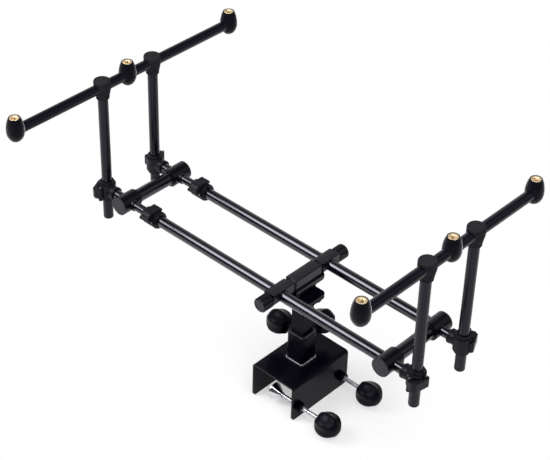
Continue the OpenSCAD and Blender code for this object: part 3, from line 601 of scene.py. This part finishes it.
class PodDetails(bpy.types.PropertyGroup):
    """Sizes of the details on the rod pod."""

    plate_edge: length("Plate edge", "Rounding of the plate, nut and bolt edges", 0.5 * MM)
    plastic_edge: length("Plastic edge", "Rounding of the moulded edges", 0.6 * MM)
    lever_grain: length("Lever grain", "Mesh size of the moulded levers", 0.5 * MM)
    lever_rounds: IntProperty(
        name="Lever softness", description="Rounds of softening of the lever edges", default=28, min=0)
    thread_pitch: length("Thread pitch", "Pitch of the rods and inserts", 1.25 * MM)
    thread_depth: length("Thread depth", "Depth of the threads", 0.45 * MM)
    rim_edge: length("Rim edge", "Rounding of the guide's rim", 1.0 * MM)
    clamp_edge: length("Clamp edge", "Rounding of the bar clamp blocks", 1.3 * MM)
    # The darker finish within this reach of each bar clamp joint is painted shade
    joint_shade_reach: length("Joint shade reach", "Reach of the gloss on each side of a bar clamp joint", 2.2 * MM)
    weld_step: length("Weld step", "Distance between the ripples of the weld", 2.8 * MM)
    weld_size: length("Weld size", "Radius of the ripples of the weld", 3.9 * MM)
    weld_corner: length("Weld corner", "Radius of the weld round the corners of the post", 3.0 * MM)
    grip_ribs: IntProperty(name="Grip ribs", description="Ribs on each bar clamp knob", default=18, min=6)
    knob_lobes: IntProperty(name="Knob lobes", description="Lobes on each ball knob", default=6, min=3)


class PodStage(bpy.types.PropertyGroup):
    """Camera, floor and light round the rod pod."""

    eye: FloatVectorProperty(
        name="Camera place", description="Place of the camera", default=(-1.5675, -1.3552, 1.8411),
        size=3, subtype="TRANSLATION", unit="LENGTH")
    yaw: angle("Camera heading", "Turn of the camera from the Y axis", -47.77)
    pitch: angle("Camera pitch", "Angle of the camera above the object", 37.12)
    roll: angle("Camera roll", "Tilt of the camera", 1.58)
    lens: FloatProperty(
        name="Lens", description="Focal length of the camera in millimetres", default=105.96, unit="CAMERA")
    floor_radius: length("Floor radius", "Radius of the white studio floor", 12.0)
    dome: FloatProperty(name="Dome", description="Strength of the even light", default=0.05, min=0.0)
    glow: FloatProperty(
        name="Glow", description="Strength of the light low behind the object", default=0.8, min=0.0)
    backdrop: FloatProperty(
        name="Backdrop", description="Share of white in reflections of the backdrop", default=0.55, min=0.0,
        max=1.0, subtype="FACTOR")
    key: power("Key", "Power of the softbox at the left", 45.0)
    wide: power("Wide", "Power of the wide diffuser above the key", 9.0)
    top: power("Top", "Power of the softbox overhead", 72.0)
    edge: power("Edge", "Power of the softbox at the right", 3.0)


# Pieces

def lobed_ball(work, radius, flat, lobes, matrix):
    """Ball with soft flutes round Z, cut flat at the top where its rod goes in."""
    rings = 40
    sides = 16 * lobes
    flute_depth = 0.14
    # Powers under 1 that widen the flutes and fill out the half by the rod
    flute_width = 0.7
    shoulder = 0.72
    top = math.asin(flat / radius)
    rows = []
    for i in range(rings + 1):
        tilt = -math.pi / 2 + (math.pi / 2 + top) * i / rings
        ball = radius * math.cos(tilt) ** (shoulder if tilt > 0 else 1)
        row = []
        for j in range(sides):
            turn = 2 * math.pi * j / sides
            flute = (0.5 + 0.5 * math.cos(lobes * turn)) ** flute_width
            reach = max(ball * (1 - flute_depth * flute * math.cos(tilt)), 0)
            row.append(Vector((reach * math.cos(turn), reach * math.sin(turn), radius * math.sin(tilt))))
        rows.append([work.verts.new(matrix @ point) for point in row])
    for lower, upper in zip(rows, rows[1:]):
        for i in range(sides):
            j = (i + 1) % sides
            work.faces.new([lower[i], lower[j], upper[j], upper[i]])
    work.faces.new(rows[-1])


def ball_knob(node, axis, lobes):
    """Lobed ball knob in the place of a node, with its flat towards an axis."""
    size, along, base = node_base(node, axis)
    radius = max(size[i] for i in range(3) if i != along) / 2
    flat = size[along] - radius
    work = bmesh.new()
    lobed_ball(work, radius, flat, lobes, turn_to(axis, base + radius * Vector(axis)))
    piece = new_object(node + "_lobed", mesh_from(work, node + "_lobed"))
    settle(piece, "knob", node)


def threaded_rod(node, axis, finish, details, tree):
    """Rod with a rolled thread in the place of a node."""
    size, along, base = node_base(node, axis)
    rod_length = size[along]
    radius = min(size) / 2
    crest = details.thread_depth / 2
    chamfer = details.thread_depth
    core = radius - details.thread_depth
    profile = [(0, 0), (core - chamfer, 0), (core, chamfer), (core, rod_length - chamfer),
               (core - chamfer, rod_length), (0, rod_length)]
    work = bmesh.new()
    lathe(work, profile, Matrix.Identity(4), sides=32)
    piece = new_object(node + "_threaded", mesh_from(work, node + "_threaded"))
    wound = rod_length - 2 * (chamfer + crest)
    grow(piece, tree, {
        "Radius": radius - crest, "Crest": crest, "Turns": wound / details.thread_pitch, "Length": wound,
        "Start": chamfer + crest, "Steps": 20, "Finish": FINISHES[finish],
    }, turn_to(axis, base))
    settle(piece, finish, node)


def flared_foot(node, axis):
    """Trumpet foot with a rounded pad rim."""
    size, along, base = node_base(node, axis)
    pad = size.x / 2
    depth = size[along]
    neck = 5.5 * MM
    neck_length = 3 * MM
    rim = 3 * MM
    edge = 0.6 * MM
    # Power of the cone's outline, a straight cone at 1
    flare = 1.08
    steps = 24
    cone = depth - rim - neck_length
    profile = [(0, 0), (neck - edge, 0)] + arc((neck - edge, edge), edge, -90, 0)
    profile += [(neck + (pad - neck) * (i / steps) ** flare, neck_length + cone * i / steps)
                for i in range(steps + 1)]
    profile += arc((pad - edge, depth - edge), edge, 0, 90) + [(0, depth)]
    work = bmesh.new()
    lathe(work, profile, turn_to(axis, base), sides=64)
    piece = new_object(node + "_turned", mesh_from(work, node + "_turned"))
    settle(piece, "chrome", node)


def ribbed_grip(node, axis, details, tree):
    """Round grip with a ring of ribs and a dished end."""
    size, along, base = node_base(node, axis)
    depth = size[along]
    radius = size.z / 2
    rib = 1.6 * MM
    edge = 1.2 * MM
    core = radius - 1.3 * MM
    dish = 0.6 * MM
    dish_radius = radius - 4 * MM
    profile = [(0, 0), (core - edge, 0), (core, edge)]
    profile += arc((core - edge, depth - edge), edge, 0, 90)
    profile += [(dish_radius, depth), (dish_radius - dish, depth - dish), (0, depth - dish)]
    work = bmesh.new()
    lathe(work, profile, Matrix.Identity(4), sides=72)
    piece = new_object(node + "_ribbed", mesh_from(work, node + "_ribbed"))
    rib_start = edge / 3
    rib_length = depth - edge - rib_start
    grow(piece, tree, {
        "Count": details.grip_ribs, "Ring radius": radius - rib, "Rib radius": rib, "Length": rib_length,
        "Middle": rib_start + rib_length / 2, "Finish": FINISHES["clamp_plastic"],
    }, turn_to(axis, base))
    settle(piece, "clamp_plastic", node)


def egg_profile(radius, top, bottom, seat):
    """Outline of an egg from its foot to the seat of its insert."""
    steps = 20
    sink = 6 * MM
    # The upper part follows a taller ellipse, which the flat top cuts
    peak = 1.32 * top
    quarter = [math.radians(-90 + 90 * i / steps) for i in range(steps + 1)]
    lower = [(radius * math.cos(a), bottom * math.sin(a)) for a in quarter]
    lower[0] = (0, -bottom)
    heights = [top * i / steps for i in range(1, steps + 1)]
    upper = [(radius * math.sqrt(1 - (z / peak) ** 2), z) for z in heights]
    return lower + upper + [(seat, top), (seat, top - sink), (0, top - sink)]


def triple_places(node, radius):
    """The three places along X of a node that holds three like solids."""
    low, high, middle = node_box(node)
    return [low.x + radius, middle.x, high.x - radius]


def covers(end):
    """Soft egg covers of one rest."""
    low, high, _ = node_box(end + "_eggs")
    insert_low, insert_high, _ = node_box(end + "_inserts")
    bar = node_box(end + "_buzz_bar")[2]
    radius = (high.y - low.y) / 2
    seat = (insert_high.y - insert_low.y) / 2
    profile = egg_profile(radius, high.z - bar.z, bar.z - low.z, seat)
    work = bmesh.new()
    for x in triple_places(end + "_eggs", radius):
        lathe(work, profile, Matrix.Translation((x, bar.y, bar.z)), sides=72)
    piece = new_object(end + "_egg_covers", mesh_from(work, end + "_egg_covers"))
    settle(piece, "soft", end + "_eggs")


def join(parts, name):
    """Join like parts of one body into the first."""
    work = bmesh.new()
    for part in parts:
        work.from_mesh(part.data)
    mesh = bpy.data.meshes.new(name)
    work.to_mesh(mesh)
    work.free()
    parts[0].data = mesh
    parts[0].name = name
    for part in parts[1:]:
        bpy.data.objects.remove(part)


def inserts(end, details, tree):
    """Threaded brass inserts of one rest."""
    low, high, middle = node_box(end + "_inserts")
    radius = (high.y - low.y) / 2
    depth = high.z - low.z
    bore = 4.15 * MM
    floor = 1.5 * MM
    chamfer = 0.9 * MM
    edge = 0.4 * MM
    profile = [(0, 0), (radius, 0), (radius, depth - edge), (radius - edge, depth), (bore + chamfer, depth),
               (bore, depth - chamfer), (bore, floor), (0, floor)]
    wound = depth - floor - chamfer - 2 * details.thread_depth
    parts = []
    for i, x in enumerate(triple_places(end + "_inserts", radius)):
        work = bmesh.new()
        lathe(work, profile, Matrix.Identity(4), sides=64)
        part = new_object(f"{end}_insert_{i}", mesh_from(work, f"{end}_insert_{i}"))
        grow(part, tree, {
            "Radius": bore, "Crest": details.thread_depth / 2, "Turns": wound / details.thread_pitch,
            "Length": wound, "Start": floor + details.thread_depth, "Steps": 24, "Finish": FINISHES["brass"],
        }, Matrix.Translation((x, middle.y, low.z)))
        parts.append(part)
    join(parts, end + "_threaded_inserts")
    settle(parts[0], "brass", end + "_inserts")


def heads(end):
    """T-heads that join the uprights to one buzz bar."""
    low, high, _ = node_box(end + "_heads")
    bar = node_box(end + "_buzz_bar")[2]
    radius = (high.y - low.y) / 2
    top = high.z - bar.z
    bottom = bar.z - low.z
    crown = 3 * MM
    collar = 11.6 * MM
    collar_length = 5 * MM
    lip = 0.8 * MM
    step_out = 0.4 * MM
    step_up = 0.6 * MM
    dish = 0.5 * MM
    ring = radius - 4.5 * MM
    # Points of the skirt, as a cut from the radius and a share of the drop below the bar
    skirt = ((1 * MM, 0.25), (0.3 * MM, 0.1), (0, 0))
    profile = [(0, -bottom), (collar - lip, -bottom)]
    profile += arc((collar - lip, -bottom + lip), lip, -90, 0)
    profile += arc((collar - lip, -bottom + collar_length - lip), lip, 0, 60, steps=4)
    profile += [(collar + step_out, -bottom + collar_length + step_up)]
    profile += [(radius - cut, -share * bottom) for cut, share in skirt]
    profile += arc((radius - crown, top - crown), crown, 0, 90, steps=10)
    profile += [(ring + dish, top), (ring, top - dish), (0, top - dish)]
    work = bmesh.new()
    for x in (low.x + radius, high.x - radius):
        lathe(work, profile, Matrix.Translation((x, bar.y, bar.z)), sides=72)
    piece = new_object(end + "_t_heads", mesh_from(work, end + "_t_heads"))
    settle(piece, "head", end + "_heads")


# Operators

class PodOperator:
    """What the operators of the rod pod share."""

    bl_options = {"REGISTER", "UNDO"}

    @staticmethod
    def details(context):
        """Sizes of the details."""
        return context.scene.pod_details


class POD_OT_finishes(PodOperator, bpy.types.Operator):
    """Make the finishes that the pieces take"""

    bl_idname = "pod.finishes"
    bl_label = "Finishes"

    def execute(self, context):
        colours = context.scene.pod_finishes
        FINISHES.update({
            "coat": plate_enamel(colours.coat),
            "column": column_enamel(colours.coat),
            "weld": weld_enamel(colours.coat),
            "bar_black": gloss_bar(colours.bar_black),
            "tube_black": satin_tube(colours.tube_black),
            "plastic": moulded_plastic(colours.plastic),
            "boss_plastic_and_joint_shade": boss_plastic_and_joint_shade(colours.boss_plastic_and_joint_shade),
            "clamp_plastic": clamp_plastic(colours.clamp),
            "knob": knob_plastic(colours.knob),
            "soft": soft_cover(colours.soft),
            "head": head_plastic(colours.head),
            "cap": cap_plastic(colours.cap),
            "chrome": bright_chrome(colours.chrome),
            "rod": plated_rod(colours.chrome),
            "steel": zinc_steel(colours.steel),
            "black_steel": black_steel(colours.black_steel),
            "brass": turned_brass(colours.brass),
        })
        return {"FINISHED"}


class POD_OT_stage(PodOperator, bpy.types.Operator):
    """Set up the camera, the white floor and the light"""

    bl_idname = "pod.stage"
    bl_label = "Stage"

    def execute(self, context):
        stage = context.scene.pod_stage
        context.scene.view_settings.view_transform = "Standard"
        place_camera(context, stage)
        white_floor(stage)
        studio_light(context, stage)
        return {"FINISHED"}


class POD_OT_bracket(PodOperator, bpy.types.Operator):
    """Make the plank clamp with its post, guide, nuts and weld"""

    bl_idname = "pod.bracket"
    bl_label = "Plank clamp"

    def execute(self, context):
        details = self.details(context)
        rounded_copy("clamp_bracket", "coat", details.plate_edge)
        rounded_copy("mast_guide", "clamp_plastic", details.rim_edge, segments=3)
        rounded_copy("weld_nuts", "coat", details.plate_edge)
        rounded_copy("post", "column", details.plate_edge)
        weld = new_object("post_weld", bpy.data.meshes.new("post_weld"))
        side = node_box("mast_guide")[1].x * 2
        grow(weld, weld_tree(), {
            "Side": side, "Corner": details.weld_corner, "Step": details.weld_step,
            "Ripple": details.weld_size, "Height": node_box("clamp_bracket")[1].z, "Finish": FINISHES["weld"],
        }, Matrix.Identity(4))
        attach(weld, "base")
        return {"FINISHED"}


class POD_OT_screws(PodOperator, bpy.types.Operator):
    """Make the plank screws and the column locks"""

    bl_idname = "pod.screws"
    bl_label = "Screws and ball knobs"

    def execute(self, context):
        details = self.details(context)
        tree = thread_tree()
        inward = (0, 1, 0)
        for side in ("near", "far"):
            threaded_rod(side + "_clamp_screw", inward, "rod", details, tree)
            flared_foot(side + "_clamp_foot", inward)
            ball_knob(side + "_clamp_knob", inward, details.knob_lobes)
        for node, axis in (("rear_lock", (0, -1, 0)), ("side_lock", (-1, 0, 0))):
            threaded_rod(node + "_screw", axis, "black_steel", details, tree)
            ball_knob(node + "_knob", axis, details.knob_lobes)
        return {"FINISHED"}


class POD_OT_mast(PodOperator, bpy.types.Operator):
    """Make the mast, its head and the bar clamp"""

    bl_idname = "pod.mast"
    bl_label = "Mast and bar clamp"

    def execute(self, context):
        details = self.details(context)
        rounded_copy("mast", "column", details.plate_edge)
        rounded_copy("saddle", "coat", details.plate_edge)
        rounded_copy("head_bolts", "coat", details.plate_edge)
        rounded_copy("clamp_bolts", "steel", details.plate_edge)
        ends = [corner.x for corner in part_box("clamp_beam")]
        for node in ("clamp_beam", "bar_clamps"):
            block = rounded_copy(node, "clamp_plastic", details.clamp_edge, segments=4)
            # Faces near the joints take the darker finish as painted shade in the recesses
            paint_joint_shade(block, ends, details.joint_shade_reach, "boss_plastic_and_joint_shade")
        ribs = rib_tree()
        for side, axis in (("near", (-1, 0, 0)), ("far", (1, 0, 0))):
            coat_node(side + "_end_stud", "steel")
            ribbed_grip(side + "_end_grip", axis, details, ribs)
        return {"FINISHED"}


class POD_OT_frame(PodOperator, bpy.types.Operator):
    """Finish the bars and make the cross tube ends, collars and locks"""

    bl_idname = "pod.frame"
    bl_label = "Bars, collars and locks"

    def execute(self, context):
        details = self.details(context)
        for node in ("main_bars", "inner_tubes", "front_cross_tube", "rear_cross_tube", "front_stubs",
                     "rear_stubs"):
            coat_node(node, "bar_black")
        coat_node("telescope_bushes", "plastic")
        for node in ("frame_lock_pins", "rear_lock_pins"):
            coat_node(node, "steel")
        for end in ("front", "rear"):
            rounded_copy(end + "_bosses", "boss_plastic_and_joint_shade", details.plastic_edge)
            rounded_copy(end + "_end_caps", "cap", details.plastic_edge)
            rounded_copy(end + "_collars", "plastic", details.plastic_edge)
        rounded_copy("bar_locks", "plastic", details.plastic_edge)
        for lever in ("near_bar", "far_bar", "front_near", "front_far", "rear_near", "rear_far"):
            moulded_copy(lever + "_lever", "plastic", details.lever_grain, details.lever_rounds)
        return {"FINISHED"}


class POD_OT_rests(PodOperator, bpy.types.Operator):
    """Make the two rests with their heads, eggs and inserts"""

    bl_idname = "pod.rests"
    bl_label = "Rod rests"

    def execute(self, context):
        details = self.details(context)
        tree = thread_tree()
        for end in ("front", "rear"):
            coat_node(end + "_uprights", "tube_black")
            coat_node(end + "_buzz_bar", "tube_black")
            rounded_copy(end + "_foot_plugs", "plastic", details.plastic_edge)
            heads(end)
            covers(end)
            inserts(end, details, tree)
        return {"FINISHED"}


# Stage

WHITE = (1.0, 1.0, 1.0, 1.0)
FLOOR_COLOUR = (0.94, 0.94, 0.94, 1.0)
# Distances from the origin over which the floor turns white to the camera, and its shares of white there
SHADE_REACH = (0.03, 0.25)
SHADE_WHITE = (0.35, 1.0)
# Shares of white in reflections of the floor and of the dome
FLOOR_MIRROR = 0.3
DOME_MIRROR = 0.05
# Directions of the glow and the backdrop, and the dot products between which they fade in
GLOW_SIDE = (0.72, 0.65, -0.25)
GLOW_REACH = (0.66, 0.95)
BACKDROP_SIDE = (0.72, 0.6, 0.35)
BACKDROP_REACH = (0.8, 0.95)


def place_camera(context, stage):
    """Camera at the angle of the photograph."""
    data = bpy.data.cameras.new("Camera")
    data.lens = stage.lens
    camera = bpy.data.objects.new("Camera", data)
    context.scene.collection.objects.link(camera)
    heading = Matrix.Rotation(stage.yaw, 4, "Z")
    tilt = Matrix.Rotation(math.pi / 2 - stage.pitch, 4, "X")
    roll = Matrix.Rotation(stage.roll, 4, "Z")
    camera.matrix_world = Matrix.Translation(stage.eye) @ heading @ tilt @ roll
    context.scene.camera = camera


def white_to_eye(tree, lit, white, eye_share, mirror_share):
    """Mix a lit shader with a white one, by one share for the camera and glass and one for reflections."""
    path = add_node(tree, "ShaderNodeLightPath").outputs
    seen = combine(tree, "MAXIMUM", path["Is Camera Ray"], path["Is Transmission Ray"])
    direct = combine(tree, "MULTIPLY", seen, eye_share)
    mirrored = combine(tree, "MULTIPLY", path["Is Glossy Ray"], mirror_share)
    share = combine(tree, "MAXIMUM", direct, mirrored)
    return add_node(tree, "ShaderNodeMixShader", {0: share, 1: lit, 2: white}).outputs["Shader"]


def white_floor(stage):
    """Wide white studio floor that keeps the shadow."""
    work = bmesh.new()
    bmesh.ops.create_circle(
        work, cap_ends=True, segments=64, radius=stage.floor_radius,
        matrix=Matrix.Translation((0, 0, CAD_BOX[0].z)))
    floor = new_object("studio_floor", mesh_from(work, "studio_floor"))
    material = bpy.data.materials.new("White floor")
    material.use_nodes = True
    tree = material.node_tree
    tree.nodes.remove(tree.nodes["Principled BSDF"])
    lit = add_node(tree, "ShaderNodeBsdfDiffuse", {"Color": FLOOR_COLOUR})
    white = add_node(tree, "ShaderNodeEmission", {"Color": WHITE, "Strength": 1.0})
    place = add_node(tree, "ShaderNodeTexCoord").outputs["Object"]
    away = add_node(tree, "ShaderNodeVectorMath", {0: place}, operation="LENGTH").outputs["Value"]
    eye_share = remap(tree, away, SHADE_REACH, SHADE_WHITE)
    shown = white_to_eye(tree, lit.outputs["BSDF"], white.outputs["Emission"], eye_share, FLOOR_MIRROR)
    tree.links.new(shown, tree.nodes["Material Output"].inputs["Surface"])
    floor.data.materials.append(material)


def softbox(context, name, watts, size, place, aim):
    """Rectangular soft light that looks at a point."""
    data = bpy.data.lights.new(name, "AREA")
    data.shape = "RECTANGLE"
    data.energy = watts
    data.size, data.size_y = size
    lamp = bpy.data.objects.new(name, data)
    context.scene.collection.objects.link(lamp)
    toward = Vector(aim) - Vector(place)
    lamp.matrix_world = Matrix.Translation(place) @ toward.to_track_quat("-Z", "Y").to_matrix().to_4x4()


def studio_light(context, stage):
    """Dim dome that glows low behind the object, a backdrop in reflections and four softboxes."""
    world = bpy.data.worlds.new("Studio")
    context.scene.world = world
    world.use_nodes = True
    tree = world.node_tree
    dome = tree.nodes["Background"]
    dome.inputs["Color"].default_value = WHITE
    ray = add_node(tree, "ShaderNodeTexCoord").outputs["Generated"]
    glow = remap(
        tree, nearness(tree, ray, GLOW_SIDE), GLOW_REACH, (stage.dome, stage.glow), "SMOOTHSTEP")
    tree.links.new(glow, dome.inputs["Strength"])
    white = add_node(tree, "ShaderNodeBackground", {"Color": WHITE, "Strength": 1.0})
    backdrop = remap(
        tree, nearness(tree, ray, BACKDROP_SIDE), BACKDROP_REACH, (DOME_MIRROR, stage.backdrop), "SMOOTHSTEP")
    shown = white_to_eye(tree, dome.outputs["Background"], white.outputs["Background"], 1.0, backdrop)
    tree.links.new(shown, tree.nodes["World Output"].inputs["Surface"])
    middle = (CAD_BOX[0] + CAD_BOX[1]) / 2
    for name, watts, size, place in (
        ("Key softbox", stage.key, (1.1, 1.3), (-1.36, 1.28, 1.86)),
        ("Wide diffuser", stage.wide, (1.6, 1.4), (-0.78, 1.47, 2.2)),
        ("Top softbox", stage.top, (2.0, 2.0), (-0.5, -1.2, 2.8)),
        ("Edge softbox", stage.edge, (1.6, 1.6), (1.5, -1.45, 1.5)),
    ):
        softbox(context, name, watts, size, place, middle)


# Panel and registration

OPERATORS = (
    POD_OT_finishes, POD_OT_stage, POD_OT_bracket, POD_OT_screws, POD_OT_mast, POD_OT_frame, POD_OT_rests,
)


class POD_PT_panel(bpy.types.Panel):
    """List of the steps that make the rod pod"""

    bl_idname = "POD_PT_panel"
    bl_label = "Rod pod"
    bl_space_type = "VIEW_3D"
    bl_region_type = "UI"
    bl_category = "Rod pod"

    def draw(self, context):
        for operator in OPERATORS:
            self.layout.operator(operator.bl_idname)
        for group in ("pod_finishes", "pod_details", "pod_stage"):
            column = self.layout.column()
            values = getattr(context.scene, group)
            for name in values.bl_rna.properties.keys():
                if name not in ("rna_type", "name"):
                    column.prop(values, name)


CLASSES = (PodFinishes, PodDetails, PodStage, *OPERATORS, POD_PT_panel)


def register():
    """Register the classes and hang their values on the scene."""
    for item in CLASSES:
        bpy.utils.register_class(item)
    bpy.types.Scene.pod_finishes = PointerProperty(type=PodFinishes)
    bpy.types.Scene.pod_details = PointerProperty(type=PodDetails)
    bpy.types.Scene.pod_stage = PointerProperty(type=PodStage)


def unregister():
    """Take the values and the classes away again."""
    del bpy.types.Scene.pod_stage
    del bpy.types.Scene.pod_details
    del bpy.types.Scene.pod_finishes
    for item in reversed(CLASSES):
        bpy.utils.unregister_class(item)


def main():
    """Make the whole rod pod."""
    register()
    for step in ("stage", "finishes", "bracket", "screws", "mast", "frame", "rests"):
        getattr(bpy.ops.pod, step)()


if __name__ == "__main__":
    main()
